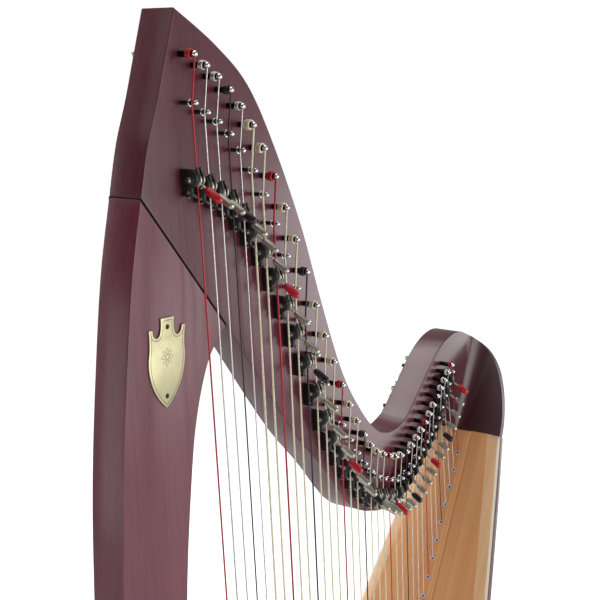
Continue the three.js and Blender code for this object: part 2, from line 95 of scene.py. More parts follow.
def make_camera():
    """The camera turns from +Y towards +X by the yaw, then down by the pitch, then rolls."""
    yaw, pitch, roll = CAMERA_YAW, CAMERA_PITCH, CAMERA_ROLL
    ahead = Vector((math.sin(yaw) * math.cos(pitch), math.cos(yaw) * math.cos(pitch), -math.sin(pitch)))
    level = Vector((math.cos(yaw), -math.sin(yaw), 0))
    upright = level.cross(ahead)
    right = level * math.cos(roll) + upright * math.sin(roll)
    up = upright * math.cos(roll) - level * math.sin(roll)
    camera = add_object("camera", bpy.data.cameras.new("camera"))
    camera.data.lens = CAMERA_LENS
    camera.data.clip_start = 0.05
    turn = Matrix((right, up, -ahead)).transposed().to_4x4()
    camera.matrix_world = Matrix.Translation(CAMERA_PLACE) @ turn
    bpy.context.scene.camera = camera


make_camera()


# ---- Materials ----

class Tree:
    """Short ways to add and join nodes. An input is named, or numbered where names repeat."""

    def __init__(self, tree):
        self.tree = tree

    def add(self, kind, **inputs):
        return self.fill(self.tree.nodes.new("ShaderNode" + kind), inputs)

    def fill(self, node, inputs):
        for socket, value in inputs.items():
            self.put(node, socket.replace("_", " "), value)
        return node

    def put(self, node, socket, value):
        target = node.inputs[int(socket) if socket.isdigit() else socket]
        if isinstance(value, bpy.types.NodeSocket):
            self.tree.links.new(value, target)
        else:
            target.default_value = value


class Nodes(Tree):
    """The nodes of one material, with values for its shader's own sockets."""

    def __init__(self, name, **values):
        self.material = bpy.data.materials.new(name)
        self.material.use_nodes = True
        super().__init__(self.material.node_tree)
        self.surface = self.fill(self.tree.nodes["Principled BSDF"], values)

    def stretched(self, scale, turn=(0, 0, 0)):
        """Object coordinates, turned and then scaled, so that a pattern can run along a grain."""
        place = self.add("TexCoord")
        turned = self.add("Mapping", Vector=place.outputs["Object"], Rotation=turn)
        scaled = self.add("VectorMath", **{"0": turned.outputs[0], "1": scale})
        scaled.operation = "MULTIPLY"
        return scaled.outputs[0]

    def noise(self, vector, detail=3.0, rough=0.5):
        node = self.add("TexNoise", Vector=vector, Scale=1.0, Detail=detail, Roughness=rough)
        return node.outputs["Fac"]

    def ramp(self, factor, *stops):
        node = self.add("ValToRGB", Fac=factor)
        elements = node.color_ramp.elements
        while len(elements) < len(stops):
            elements.new(0.5)
        for element, (position, colour) in zip(elements, stops):
            element.position = position
            element.color = (*colour, 1)
        return node.outputs["Color"]

    def span(self, factor, low, high):
        node = self.add("MapRange", Value=factor, To_Min=low, To_Max=high)
        return node.outputs[0]

    def fade(self, axis, start, end, low, high):
        """A number that goes from low to high as one object coordinate goes from start to end."""
        place = self.add("TexCoord")
        parts = self.add("SeparateXYZ", Vector=place.outputs["Object"])
        node = self.add("MapRange", Value=parts.outputs[axis], From_Min=start, From_Max=end,
                        To_Min=low, To_Max=high)
        node.interpolation_type = "SMOOTHSTEP"
        return node.outputs[0]

    def scaled(self, colour, share):
        node = self.add("VectorMath", **{"0": colour, "3": share})
        node.operation = "SCALE"
        return node.outputs[0]

    def colour(self, socket):
        self.put(self.surface, "Base Color", socket)

    def roughness(self, factor, low, high):
        self.put(self.surface, "Roughness", self.span(factor, low, high))

    def bump(self, height, strength, distance):
        node = self.add("Bump", Height=height, Strength=strength, Distance=distance)
        self.put(self.surface, "Normal", node.outputs[0])

    def clad(self, pattern, dark, light, gloss, strength, depth):
        """Colour between two stops, roughness and bumps, all from one pattern."""
        self.colour(self.ramp(pattern, dark, light))
        self.roughness(pattern, *gloss)
        self.bump(pattern, strength, depth)
        return self.material


def mahogany(name, turn=(0, 0, 0), face=1.0, tip=1.0):
    """Red-brown stain under satin lacquer, with the grain along the turned Z. The colour is darkened
    towards the treble end as painted shade, where less light falls. face and tip are the shares of its
    brightness that are left on the shoulder's front face and at the neck's tip, as painted shade there."""
    n = Nodes(name, Coat_Weight=0.5, Coat_Roughness=0.18, Coat_IOR=1.5)
    fine = n.noise(n.stretched((260, 260, 9), turn), detail=5, rough=0.62)
    figure = n.noise(n.stretched((22, 22, 2.4), turn), detail=3)
    pores = n.noise(n.stretched((900, 900, 40), turn), detail=2)
    mixed = n.add("Mix", Factor=0.4, A=fine, B=figure)
    stain_and_shade = n.ramp(mixed.outputs[0], (0.30, (0.100, 0.010, 0.024)), (0.72, (0.190, 0.026, 0.050)))
    # painted shade: the colour is halved towards the treble end
    stain_and_shade = n.scaled(stain_and_shade, n.fade("X", -0.35, 0.42, 1.0, 0.5))
    # painted shade at the neck's tip
    if tip < 1:
        stain_and_shade = n.scaled(stain_and_shade, n.fade("X", -0.30, 0.02, tip, 1.0))
    # painted shade on the shoulder's front face, which lies in shade
    if face < 1:
        stain_and_shade = n.scaled(stain_and_shade, n.fade("Y", -0.016, 0.012, face, 1.0))
        n.put(n.surface, "Roughness", n.fade("Y", -0.006, 0.013, 0.52, 0.36))
        n.put(n.surface, "Coat Roughness", n.fade("Y", -0.006, 0.013, 0.32, 0.18))
    else:
        n.roughness(fine, 0.30, 0.42)
    n.colour(stain_and_shade)
    n.bump(pores, 0.05, 0.0004)
    return n.material


def spruce(name, light, dark):
    """Straight close grain that runs up the soundboard."""
    n = Nodes(name, Coat_Weight=0.22, Coat_Roughness=0.24)
    turn = (0, -BOARD_TILT, 0)
    rings = n.noise(n.stretched((12, 620, 1.6), turn), detail=3, rough=0.6)
    broad = n.noise(n.stretched((3, 46, 1.1), turn), detail=2)
    mixed = n.add("Mix", Factor=0.42, A=rings, B=broad)
    n.colour(n.ramp(mixed.outputs[0], (0.33, dark), (0.66, light)))
    n.roughness(rings, 0.40, 0.52)
    n.bump(rings, 0.06, 0.0003)
    return n.material


def bare_wood(name, light, dark):
    """Unlacquered wood inside the soundbox."""
    n = Nodes(name)
    grain = n.noise(n.stretched((160, 160, 8), (0, -BOARD_TILT, 0)), detail=4)
    return n.clad(grain, (0.35, dark), (0.68, light), (0.55, 0.75), 0.12, 0.0005)


def metal(name, colour, low, high, scale=(500, 500, 500)):
    """Plated or polished metal with fine wear in its gloss."""
    n = Nodes(name, Metallic=1.0)
    wear = n.noise(n.stretched(scale), detail=4)
    dull = tuple(0.8 * c for c in colour)
    return n.clad(wear, (0.35, dull), (0.65, colour), (low, high), 0.04, 0.0002)


def plastic(name, colour, low, high, scale=900, strength=0.05, **values):
    """Moulded, dipped or sheathed plastic with a faint unevenness."""
    n = Nodes(name, **values)
    dimples = n.noise(n.stretched((scale, scale, scale)), detail=3)
    dull = tuple(0.75 * c for c in colour)
    return n.clad(dimples, (0.35, dull), (0.65, colour), (low, high), strength, 0.0003)


def wound(name, colour, metallic):
    """A string with a close winding, which shows as fine rings along it."""
    n = Nodes(name, Metallic=metallic)
    rings = n.noise(n.stretched((60, 60, 2600)), detail=2)
    dull = tuple(0.6 * c for c in colour)
    return n.clad(rings, (0.38, dull), (0.62, colour), (0.26, 0.42), 0.3, 0.0003)


MAHOGANY = mahogany("mahogany_upright")
# The neck's colour is darkened towards its tip: painted shade.
MAHOGANY_NECK = mahogany("mahogany_neck", tip=0.68)
# The shoulder's front face is darkened: painted shade.
MAHOGANY_HEAD = mahogany("mahogany_head", face=0.6)
MAHOGANY_BOX = mahogany("mahogany_box", (0, -BOARD_TILT, 0))
MAHOGANY_BASE = mahogany("mahogany_base", (0, math.pi / 2, 0))
SPRUCE = spruce("spruce_board", (0.80, 0.40, 0.165), (0.64, 0.28, 0.105))
# Paler spruce for the bevel: painted light where it faces the lamps.
SPRUCE_LIT_BEVEL = spruce("spruce_bevel_painted_light", (0.88, 0.56, 0.31), (0.74, 0.42, 0.215))
# Near-white spruce for the board's rounded lip: a painted highlight.
LIP_HIGHLIGHT = spruce("spruce_lip_painted_highlight", (0.96, 0.88, 0.74), (0.90, 0.78, 0.60))
RIB_WOOD = spruce("string_rib_wood", (0.92, 0.45, 0.18), (0.56, 0.21, 0.075))
BEAD_WOOD = spruce("rib_bead_wood", (0.90, 0.52, 0.25), (0.80, 0.40, 0.17))
INNER_WOOD = bare_wood("inner_wood", (0.45, 0.30, 0.17), (0.33, 0.20, 0.10))
NICKEL = metal("nickel_satin", (0.60, 0.58, 0.49), 0.28, 0.40)
CHROME = metal("chrome_polished", (0.90, 0.90, 0.92), 0.05, 0.12)
BLUED = metal("blued_steel", (0.030, 0.030, 0.034), 0.28, 0.42)
HOUSING = plastic("housing_black", (0.016, 0.016, 0.018), 0.32, 0.46)
# Black that stands in for shade: the plugs in the eyelets' holes, the screw slots and the sheets inside
# the lever cheeks are painted shade.
SHADE_BLACK = plastic("painted_shade_black", (0.008, 0.008, 0.008), 0.5, 0.65)
BAR_STEEL = metal("bar_bright_steel", (0.96, 0.95, 0.91), 0.30, 0.42)
SLEEVE_RED = plastic("sleeve_red", (0.62, 0.006, 0.014), 0.24, 0.36, Coat_Weight=0.3)
SLEEVE_BLACK = plastic("sleeve_black", (0.008, 0.008, 0.009), 0.26, 0.38, Coat_Weight=0.3)
PLATE = metal("plate_gold", (0.66, 0.62, 0.385), 0.38, 0.46, (40, 900, 40))
# A dark copy of the nickel for the lever horns: painted shade.
SHADED_NICKEL = metal("nickel_shaded", (0.11, 0.10, 0.09), 0.30, 0.42)
ENGRAVING = metal("plate_engraving", (0.10, 0.075, 0.03), 0.45, 0.6)
DARK_SCREW = metal("screw_blackened", (0.05, 0.045, 0.04), 0.3, 0.45)
EYELET = plastic("eyelet_lilac", (0.60, 0.56, 0.64), 0.30, 0.42)
RUBBER = plastic("foot_rubber", (0.018, 0.018, 0.018), 0.6, 0.8, 400, 0.2)
GASKET = plastic("gasket_black", (0.004, 0.004, 0.004), 0.7, 0.9, 600, 0.1, Specular_IOR_Level=0.1)
WIRE_SILVER = wound("string_wire_silver", (0.80, 0.77, 0.75), 1.0)
SILK_RED = wound("string_silk_red", (0.62, 0.010, 0.030), 0.0)
SILK_BLACK = wound("string_silk_black", (0.006, 0.006, 0.008), 0.0)
GUT = plastic("string_gut_cream", (0.97, 0.89, 0.66), 0.30, 0.42, 700, 0.05)
GUT_RED = plastic("string_gut_red", (0.55, 0.008, 0.028), 0.28, 0.40, 700, 0.05)
GUT_BLACK = plastic("string_gut_black", (0.014, 0.014, 0.022), 0.28, 0.40, 700, 0.05)
NYLON = plastic("string_nylon_clear", (0.94, 0.92, 0.86), 0.16, 0.26, 700, 0.02, Coat_Weight=0.4)


# ---- Shapes ----

def clamp(value):
    return max(0.0, min(1.0, value))


def smooth(points, count):
    """A curve through the given points, as count equal steps of its parameter."""
    curve = []
    last = len(points) - 1
    for step in range(count + 1):
        at = last * step / count
        i = min(int(at), last - 1)
        w = at - i
        picked = [Vector(points[min(max(i + k, 0), last)]) for k in (-1, 0, 1, 2)]
        before = (picked[2] - picked[0]) / 2
        after = (picked[3] - picked[1]) / 2
        curve.append(
            picked[1] * (2 * w ** 3 - 3 * w ** 2 + 1) + before * (w ** 3 - 2 * w ** 2 + w)
            + picked[2] * (3 * w ** 2 - 2 * w ** 3) + after * (w ** 3 - w ** 2)
        )
    return curve


def skin(rings, caps=True, around=True):
    """Faces between neighbouring rings of points, with the first and last ring closed if caps is set."""
    count = len(rings[0])
    points = [Vector(p) for ring in rings for p in ring]
    faces = []
    for row in range(len(rings) - 1):
        low = row * count
        high = low + count
        for i in range(count if around else count - 1):
            j = (i + 1) % count
            faces.append((low + i, low + j, high + j, high + i))
    if caps:
        faces.append(tuple(range(count))[::-1])
        faces.append(tuple(range(len(points) - count, len(points))))
    return points, faces


def circle(radius, sides, height=0.0):
    turns = [2 * math.pi * i / sides for i in range(sides)]
    return [Vector((radius * math.cos(t), radius * math.sin(t), height)) for t in turns]


def arc(middle, radius, start, end, steps):
    """Points on an arc, in degrees anticlockwise from the first axis."""
    turns = [math.radians(start + (end - start) * i / steps) for i in range(steps + 1)]
    return [Vector((middle[0] + radius * math.cos(t), middle[1] + radius * math.sin(t))) for t in turns]


def rectangle(half_width, half_height):
    u, v = half_width, half_height
    return [(-u, -v), (u, -v), (u, v), (-u, v)]


def lathe(profile, sides=24):
    """A turned piece about Z, from (radius, height) pairs."""
    return skin([circle(max(radius, 0.02), sides, height) for radius, height in profile])


def tube(path, radius, sides=8):
    """A round rod along a path. radius is one number, or one for each point of the path."""
    radii = radius if isinstance(radius, (list, tuple)) else [radius] * len(path)
    ahead = (path[1] - path[0]).normalized()
    side = ahead.orthogonal().normalized()
    rings = []
    for i, point in enumerate(path):
        nearby = path[min(i + 1, len(path) - 1)] - path[max(i - 1, 0)]
        ahead = nearby.normalized()
        side = (side - ahead * side.dot(ahead)).normalized()
        other = ahead.cross(side)
        rings.append([point + side * c.x + other * c.y for c in circle(radii[i], sides)])
    return skin(rings)


def inset(outline, distance):
    """The closed outline moved inwards. It has to run anticlockwise."""
    moved = []
    for i, here in enumerate(outline):
        before = (here - outline[i - 1]).normalized()
        after = (outline[(i + 1) % len(outline)] - here).normalized()
        inward = Vector((-(before.y + after.y), before.x + after.x)).normalized()
        spread = max(0.35, inward.dot(Vector((-before.y, before.x))))
        moved.append(here + inward * distance / spread)
    return moved


def slab(outline, low, high, edge, steps=3):
    """An outline in the first two coordinates, thick along the third, with rounded edges."""
    outline = [Vector(p).to_2d() for p in outline]
    area = sum(a.cross(b) for a, b in zip(outline, outline[1:] + outline[:1]))
    if area < 0:
        outline.reverse()
    rings = []
    for step in range(steps + 1):
        turn = math.pi / 2 * step / steps
        shape = inset(outline, edge * (1 - math.sin(turn)))
        rings.append([Vector((u, v, low + edge * (1 - math.cos(turn)))) for u, v in shape])
    for step in range(steps + 1):
        turn = math.pi / 2 * step / steps
        shape = inset(outline, edge * (1 - math.cos(turn)))
        rings.append([Vector((u, v, high - edge * (1 - math.sin(turn)))) for u, v in shape])
    return skin(rings)


def axes(first, second, third, origin=(0, 0, 0)):
    """A placing matrix from the directions of a part's own three axes."""
    turn = Matrix((Vector(first), Vector(second), Vector(third))).transposed().to_4x4()
    return Matrix.Translation(Vector(origin)) @ turn


X, Y, Z = Vector((1, 0, 0)), Vector((0, 1, 0)), Vector((0, 0, 1))
SIDE_VIEW = axes(X, Z, Y)            # an outline drawn in X and Z, thick along Y
FACING_LEFT = axes(Y, Z, X)          # an outline drawn in Y and Z, thick along X
TOWARDS_PLAYER = axes(X, Z, -Y)      # a turned piece whose height runs towards -Y
ON_BOARD = axes(BOARD_UP, Y, BOARD_OUT, BOARD_ORIGIN)


def on_board(s, y, n):
    """A point s up the soundboard, y across it and n out of it."""
    return ON_BOARD @ Vector((s, y, n))


class Shape:
    """The points and faces of one piece. Each face has the number of its material."""

    def __init__(self, name):
        self.name = name
        self.points = []
        self.faces = []
        self.skins = []

    def add(self, part, place=Matrix(), skin_number=0):
        points, faces = part
        start = len(self.points)
        self.points += [place @ Vector(p) for p in points]
        self.faces += [[start + i for i in face] for face in faces]
        self.skins += [skin_number] * len(faces)
        return self

    def paint_above(self, place, height, skin_number):
        """Four-sided faces whose middles are above a height of the placed part take a new material."""
        back = place.inverted()
        for index, face in enumerate(self.faces):
            middle = back @ (sum((self.points[i] for i in face), Vector()) / len(face))
            if middle.z > height and len(face) == 4:
                self.skins[index] = skin_number

    def finish(self, materials, slot, body="root", crisp=38, replaces=(), weld=False):
        """The piece, in place and riding on its body. Edges sharper than crisp degrees stay sharp.
        weld joins the rims of skins that meet."""
        mesh = bpy.data.meshes.new(self.name)
        mesh.from_pydata([(p - MIDDLE_X * X) * MM for p in self.points], [], self.faces)
        for material in materials:
            mesh.materials.append(material)
        mesh.polygons.foreach_set("material_index", self.skins)
        mesh.polygons.foreach_set("use_smooth", [True] * len(self.faces))
        work = bmesh.new()
        work.from_mesh(mesh)
        if weld:
            bmesh.ops.remove_doubles(work, verts=work.verts, dist=0.02 * MM)
        bmesh.ops.recalc_face_normals(work, faces=work.faces)
        for edge in work.edges:
            if len(edge.link_faces) == 2:
                edge.smooth = edge.calc_face_angle() < math.radians(crisp)
        work.to_mesh(mesh)
        work.free()
        piece = add_object(self.name, mesh)
        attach(piece, body)
        if replaces:
            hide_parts(*replaces)


# ---- Where the strings run ----

def pin_ends(node, reach):
    """The middles of the pin ends on the far side of a CAD node, from bass to treble. Corners nearer
    than reach to each other are of one pin."""
    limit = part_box(node)[1].y - 0.5 * MM
    groups = []
    for corner in frame["nodes"][node].data.vertices:
        if corner.co.y < limit:
            continue
        for group in groups:
            if (group[0] - corner.co).length < reach * MM:
                group.append(corner.co)
                break
        else:
            groups.append([corner.co])
    middles = []
    for group in groups:
        xs = [p.x for p in group]
        zs = [p.z for p in group]
        middles.append(Vector((min(xs) + max(xs), 0, min(zs) + max(zs))) / 2 / MM + MIDDLE_X * X)
    return sorted(middles, key=lambda middle: middle.x)


class String:
    """One string: where it leaves the board, crosses its lever, passes its bridge pin and winds up."""

    def __init__(self, joint, tuning):
        self.body = joint["child"]
        self.number = int(self.body.split("_")[-1])
        self.pivot = Vector(joint["pos_m"]) / MM + MIDDLE_X * X
        lean = joint["axis"][2] / joint["axis"][0]
        up = Vector((-lean, 0, 1)).normalized()
        on_line = Vector((self.pivot.x, 0, self.pivot.z))
        reach = (on_line - BOARD_ORIGIN).dot(BOARD_OUT) / up.dot(BOARD_OUT)
        self.foot = on_line - up * reach
        slope = 1 / up.z
        length = (reach + LEVER_DROP * slope) / (1 - LEVER_DROP_SHARE * slope)
        self.bridge = self.foot + up * length
        self.up = up
        self.tuning = tuning
        self.place = axes(Y.cross(up), Y, up, self.pivot)
        self.note = (self.number - 1) % 7
        self.radius = self.thickness()

    def thickness(self):
        """The string's radius, which falls towards the treble within each kind of string."""
        if self.number < FIRST_GUT:
            return 0.90 - 0.04 * self.number
        return 1.12 - 0.72 * ((self.number - FIRST_GUT) / 30) ** 0.8

    def material(self):
        wire = self.number < FIRST_GUT
        if self.note == C_NOTE:
            return SILK_RED if wire else GUT_RED
        if self.note == F_NOTE:
            return SILK_BLACK if wire else GUT_BLACK
        if wire:
            return WIRE_SILVER
        return GUT if self.number < FIRST_NYLON else NYLON


FAR_ENDS = pin_ends("string_band", 7)
STRINGS = [String(joint, end) for joint, end in zip(frame["joints"], FAR_ENDS)]


# ---- Neck, pillar and shoulder ----

TIP = (-21, 1610)
JOINT_FRONT = Vector((-77, 1452))
JOINT_INNER = Vector((34, 1316))
NECK_TOP = [
    TIP, (36, 1577), (84, 1538), (126, 1474), (170, 1388), (204, 1304), (244, 1215), (281, 1160),
    (320, 1119), (357, 1103), (396, 1108), (436, 1136), (483, 1171), (521, 1185), (558, 1183),
]
NECK_LOWER = [
    JOINT_INNER, (60, 1282), (141, 1175), (201, 1110), (260, 1043), (308, 1016), (357, 1006),
    (414, 1024), (473, 1061), (503, 1066),
]
NECK_FRONT = [JOINT_FRONT, (-65, 1495), (-50, 1531), (-37, 1566), TIP]
PILLAR_FRONT = [
    JOINT_FRONT, (-94, 1385), (-108, 1302), (-121, 1205), (-129, 1103), (-140, 895), (-143, 746),
    (-139, 597), (-126, 399), (-105, BOX_FLOOR),
]
PILLAR_INNER = [
    (-15, BOX_FLOOR), (-40, 399), (-51, 597), (-54, 746), (-51, 895), (-43, 1061), (-27, 1183),
    (-14, 1242), (6, 1288), JOINT_INNER,
]
JOINT_ACROSS = Vector((JOINT_FRONT.y - JOINT_INNER.y, JOINT_INNER.x - JOINT_FRONT.x)).normalized()
JOINT_GAP = 0.8

CREST_S = 157.5                      # top of the shoulder's front face, up the board
CREST = on_board(CREST_S, 0, 0)
ROOT = on_board(BOARD_TOP + 4, 0, 0)


NECK_STEPS = 200


def flat(point):
    return (point.x, point.z)


def neck_top():
    return smooth([*NECK_TOP, flat(CREST)], NECK_STEPS)


def make_neck():
    """One board, whose end lies behind the shoulder."""
    top = neck_top()
    inside = [flat(on_board(s, 0, n)) for s, n in ((CREST_S - 1.4, -8), (CREST_S - 15, -16), (40, -16))]
    lower = smooth([*NECK_LOWER, flat(ROOT)], 120)
    lower.reverse()
    lower[-1] = JOINT_INNER + JOINT_ACROSS * JOINT_GAP
    front = smooth(NECK_FRONT, 24)[1:-1]
    outline = [*top, *inside, *lower, JOINT_FRONT + JOINT_ACROSS * JOINT_GAP, *front]
    shape = Shape("neck_wood").add(slab(outline, NECK_NEAR, NECK_FAR, EDGE), SIDE_VIEW)
    shape.finish([MAHOGANY_NECK], "mahogany", replaces=["neck"])


def make_pillar():
    front = smooth(PILLAR_FRONT, 90)
    inner = smooth(PILLAR_INNER, 90)
    front[0] = JOINT_FRONT - JOINT_ACROSS * JOINT_GAP
    inner[-1] = JOINT_INNER - JOINT_ACROSS * JOINT_GAP
    shape = Shape("pillar_wood").add(slab([*front, *inner], NECK_NEAR, NECK_FAR, EDGE), SIDE_VIEW)
    shape.finish([MAHOGANY], "mahogany", replaces=["pillar"])


HEAD_LOW = BOARD_TOP + 0.3           # foot of the shoulder, on the soundboard's end
HEAD_NEAR = -53.0                    # its near side
HEAD_DEPTH = 84.0
HEAD_ROUND = 5                       # rounding of the rim behind the neck
# Front view, across and up the board: an arch that rises to the neck's top.
HEAD_ARCH = smooth([
    (HEAD_NEAR, HEAD_LOW), (-51, 52), (-45, 78), (-37, 101), (-27, 121), (-19, 133), (-9, 144),
    (1, 152), (9, 155.5), (15, 157), (25, CREST_S),
], 100)
# Side view, back from the board and up it.
HEAD_BACK = smooth([(0, CREST_S), (30, 156), (62, 145), (79, 120), (HEAD_DEPTH, 88)], 60)
# Section, back from the board and as a share of the half-width.
HEAD_SECTION = smooth([
    (0, 1), (12, 0.97), (24, 0.89), (40, 0.76), (58, 0.54), (72, 0.38), (80, 0.22), (HEAD_DEPTH, 0),
], 60)


def between(curve, at):
    """The second coordinate of a curve where its first, which always grows, has a given value."""
    for a, b in zip(curve, curve[1:]):
        if at <= b.x:
            return a.y + (b.y - a.y) * max(0.0, at - a.x) / max(1e-6, b.x - a.x)
    return curve[-1].y


def cove_radius(s):
    """The cove opens out from the shoulder's foot to its crest."""
    return 10 + 22 * clamp((s - BOARD_TOP) / (CREST_S - BOARD_TOP)) ** 0.8


def crest_line():
    """Pairs of distance out of the board and height up it, along the neck's top edge."""
    treble_end = neck_top()[3 * NECK_STEPS // 4:]
    local = [ON_BOARD.inverted() @ Vector((x, 0, z)) for x, z in treble_end]
    return sorted((p.z, p.x) for p in local)


CREST_LINE = crest_line()


def crest_at(n):
    """How far up the board the neck's top edge is at n out of it."""
    for (n0, s0), (n1, s1) in zip(CREST_LINE, CREST_LINE[1:]):
        if n0 <= n <= n1:
            return s0 + (s1 - s0) * (n - n0) / (n1 - n0)
    return CREST_S


def head_front_point(column, share):
    """A point on the front face or cove: column 0 to 1 crosses the flat, 1 to 2 the cove, and share
    goes from the foot to the rim. The cove's radius hangs on the height, so it is found by steps."""
    s = HEAD_LOW + 60
    for _ in range(14):
        radius = cove_radius(s)
        if column <= 1:
            y = HEAD_NEAR + (NECK_NEAR - radius - HEAD_NEAR) * column
            n = 0.0
        else:
            turn = math.pi / 2 * (column - 1)
            y = NECK_NEAR - radius + radius * math.sin(turn)
            n = radius * (1 - math.cos(turn))
        top = min(between(HEAD_ARCH, y), crest_at(n))
        s = HEAD_LOW + (top - HEAD_LOW) * share
    return Vector((s, y, n))


def head_columns():
    """Closest at the near side, where the arch rises steeply."""
    near = [math.sin(math.pi / 2 * i / 34) ** 2.2 for i in range(35)]
    return near + [1 + i / 18 for i in range(1, 19)]


def head_rim():
    """Up the near side, over the arch and cove, across the back of the neck and down the far side."""
    rim = [head_front_point(c, 1.0) for c in head_columns()]
    rim[0] = Vector((HEAD_LOW, HEAD_NEAR, 0))
    flat_end = NECK_FAR - HEAD_ROUND
    rim += [Vector((CREST_S, NECK_NEAR + (flat_end - NECK_NEAR) * i / 8, 0)) for i in range(1, 9)]
    corner = arc((flat_end, CREST_S - HEAD_ROUND), HEAD_ROUND, 90, 0, 6)
    rim += [Vector((p.y, p.x, 0)) for p in corner[1:]]
    down = CREST_S - HEAD_ROUND - HEAD_LOW
    rim += [Vector((HEAD_LOW + down * (1 - i / 16), NECK_FAR, 0)) for i in range(1, 17)]
    return rim


def make_shoulder():
    """The head of the soundbox: a flat front with an arched rim, a cove up to the neck's near face,
    and a rounded back. It is one closed skin with a crisp rim."""
    rows = [i / 40 for i in range(41)]
    front = [[head_front_point(c, r) for r in rows] for c in head_columns()]
    shape = Shape("shoulder_wood")
    shape.add(skin(front, caps=False, around=False), ON_BOARD)
    rim = head_rim()
    middle = (HEAD_NEAR + NECK_FAR) / 2
    rings = [rim]
    for step in range(29):
        depth = HEAD_DEPTH * math.sin(math.pi / 2 * step / 28)
        stretch = (between(HEAD_BACK, depth) - HEAD_LOW) / (CREST_S - HEAD_LOW)
        share = between(HEAD_SECTION, depth)
        ring = []
        for p in rim:
            up = p.x - crest_at(p.z) + CREST_S if p.z > 0 else p.x
            up = HEAD_LOW + (min(up, CREST_S) - HEAD_LOW) * stretch
            ring.append(Vector((up, middle + (p.y - middle) * share, -depth)))
        rings.append(ring)
    shape.add(skin(rings, caps=False, around=False), ON_BOARD)
    bottom = [ring[0] for ring in rings[1:]] + [ring[-1] for ring in reversed(rings[1:])]
    shape.add((bottom, [tuple(range(len(bottom)))]), ON_BOARD)
    shape.finish([MAHOGANY_HEAD], "mahogany", replaces=["shoulder"], weld=True)


# ---- Soundboard ----

BOARD_STEPS = [BOARD_TOP + (BOARD_LOW - BOARD_TOP) * i / 48 for i in range(49)]
BOARD_BACK = -5.6
BEVEL = 17
RIB_HALF = 12
RIB_LOW = -998


def board_half_width(s):
    down = BOARD_TOP - s
    return 52 + 0.16 * down - 2.36e-5 * down * down


def above_floor(s, n):
    """s moved up the board, if need be, so that the point at depth n isn't below the base's top."""
    lowest = (BOX_FLOOR - BOARD_ORIGIN.z - n * BOARD_OUT.z) / BOARD_UP.z
    return max(s, lowest)


def board_row(s, side):
    """Half a section of the board's front: its rounded lip, its bevel and its flat. The bevel takes a
    paler spruce as painted light, and the lip a near-white one as a painted highlight.
    """
    half = board_half_width(s)
    line = [
        (half, BOARD_BACK), (half, -5.2), (half - 1.2, -4.4), (half - 3.0, -3.5), (half - 6, -2.3),
        (half - 11, -1.0), (half - BEVEL, 0), (RIB_HALF - 1, 0),
    ]
    return [Vector((above_floor(s, n), side * y, n)) for y, n in line]


def make_soundboard():
    shape = Shape("soundboard_spruce")
    flat_skin, lit_bevel_skin, lip_highlight_skin = range(3)
    across = [lip_highlight_skin] * 3 + [lit_bevel_skin] * 3 + [flat_skin]
    skins = across * (len(BOARD_STEPS) - 1)
    for side in (-1, 1):
        rows = [board_row(s, side) for s in BOARD_STEPS]
        shape.add(skin(rows, caps=False, around=False), ON_BOARD)
        shape.skins[-len(skins):] = skins
    back = []
    for s in BOARD_STEPS:
        half = board_half_width(s)
        back.append([Vector((above_floor(s, BOARD_BACK), side * half, BOARD_BACK)) for side in (-1, 1)])
    shape.add(skin(back, caps=False, around=False), ON_BOARD)
    for end in (BOARD_TOP, BOARD_LOW):
        ring = [*board_row(end, -1), *reversed(board_row(end, 1))]
        shape.add((ring, [tuple(range(len(ring)))]), ON_BOARD)
    materials = [SPRUCE, SPRUCE_LIT_BEVEL, LIP_HIGHLIGHT]
    shape.finish(materials, "soundboard_spruce", crisp=40, replaces=["soundboard"])


def make_edging():
    """A slim mahogany strip along each side of the soundboard, narrower towards the shoulder."""
    for side, name, widest in ((-1, "near_edging", 1.7), (1, "far_edging", 0.8)):
        rings = []
        for s in BOARD_STEPS:
            half = board_half_width(s)
            wide = widest * (1 - 0.58 * clamp((s + 40) / 60))
            section = ((0.05, -14), (wide, -14), (wide, -8), (0.8 * wide, -6.5), (0.05, -5.7))
            rings.append([Vector((above_floor(s, n), side * (half + y), n)) for y, n in section])
        Shape(name).add(skin(rings), ON_BOARD).finish([MAHOGANY_BOX], "mahogany", crisp=50)


def make_string_rib():
    top = BOARD_TOP - 1
    outline = [(top, -RIB_HALF), (top, RIB_HALF), (RIB_LOW, RIB_HALF), (RIB_LOW, -RIB_HALF)]
    shape = Shape("outer_string_rib").add(slab(outline, -0.4, 1.0, 0.5), ON_BOARD)
    shape.finish([RIB_WOOD], "soundboard_spruce", replaces=["string_band"])


def make_rib_beads():
    """A slim paler bead let into the rib near each of its edges."""
    shape = Shape("rib_beads")
    for side in (-1, 1):
        route = [Vector((s, side * (RIB_HALF - 1.4), 0.72)) for s in (BOARD_TOP - 2, RIB_LOW + 1)]
        shape.add(tube(route, 0.6, 12), ON_BOARD)
    shape.finish([BEAD_WOOD], "soundboard_spruce")


def make_eyelets():
    """A turned ring round each string's hole, with a black plug in the hole as painted shade."""
    rings = Shape("string_eyelets")
    profile = [(1.5, -1.0), (1.5, 0.6), (2.0, 1.1), (3.0, 1.0), (3.8, 0.4), (4.0, -0.6)]
    hole = lathe([(1.55, -1.4), (1.55, 0.3)], 20)
    for string in STRINGS:
        s = (string.foot - BOARD_ORIGIN).dot(BOARD_UP)
        place = ON_BOARD @ Matrix.Translation((s, 0, 1.4))
        scale = Matrix.Scale(1.0 if string.number < FIRST_NYLON else 0.88, 4)
        rings.add(skin([circle(r, 20, h) for r, h in profile], caps=False), place @ scale)
        rings.add(hole, place @ scale, 1)
    rings.finish([EYELET, SHADE_BLACK], "lever_metal")


# ---- Strings and pins ----

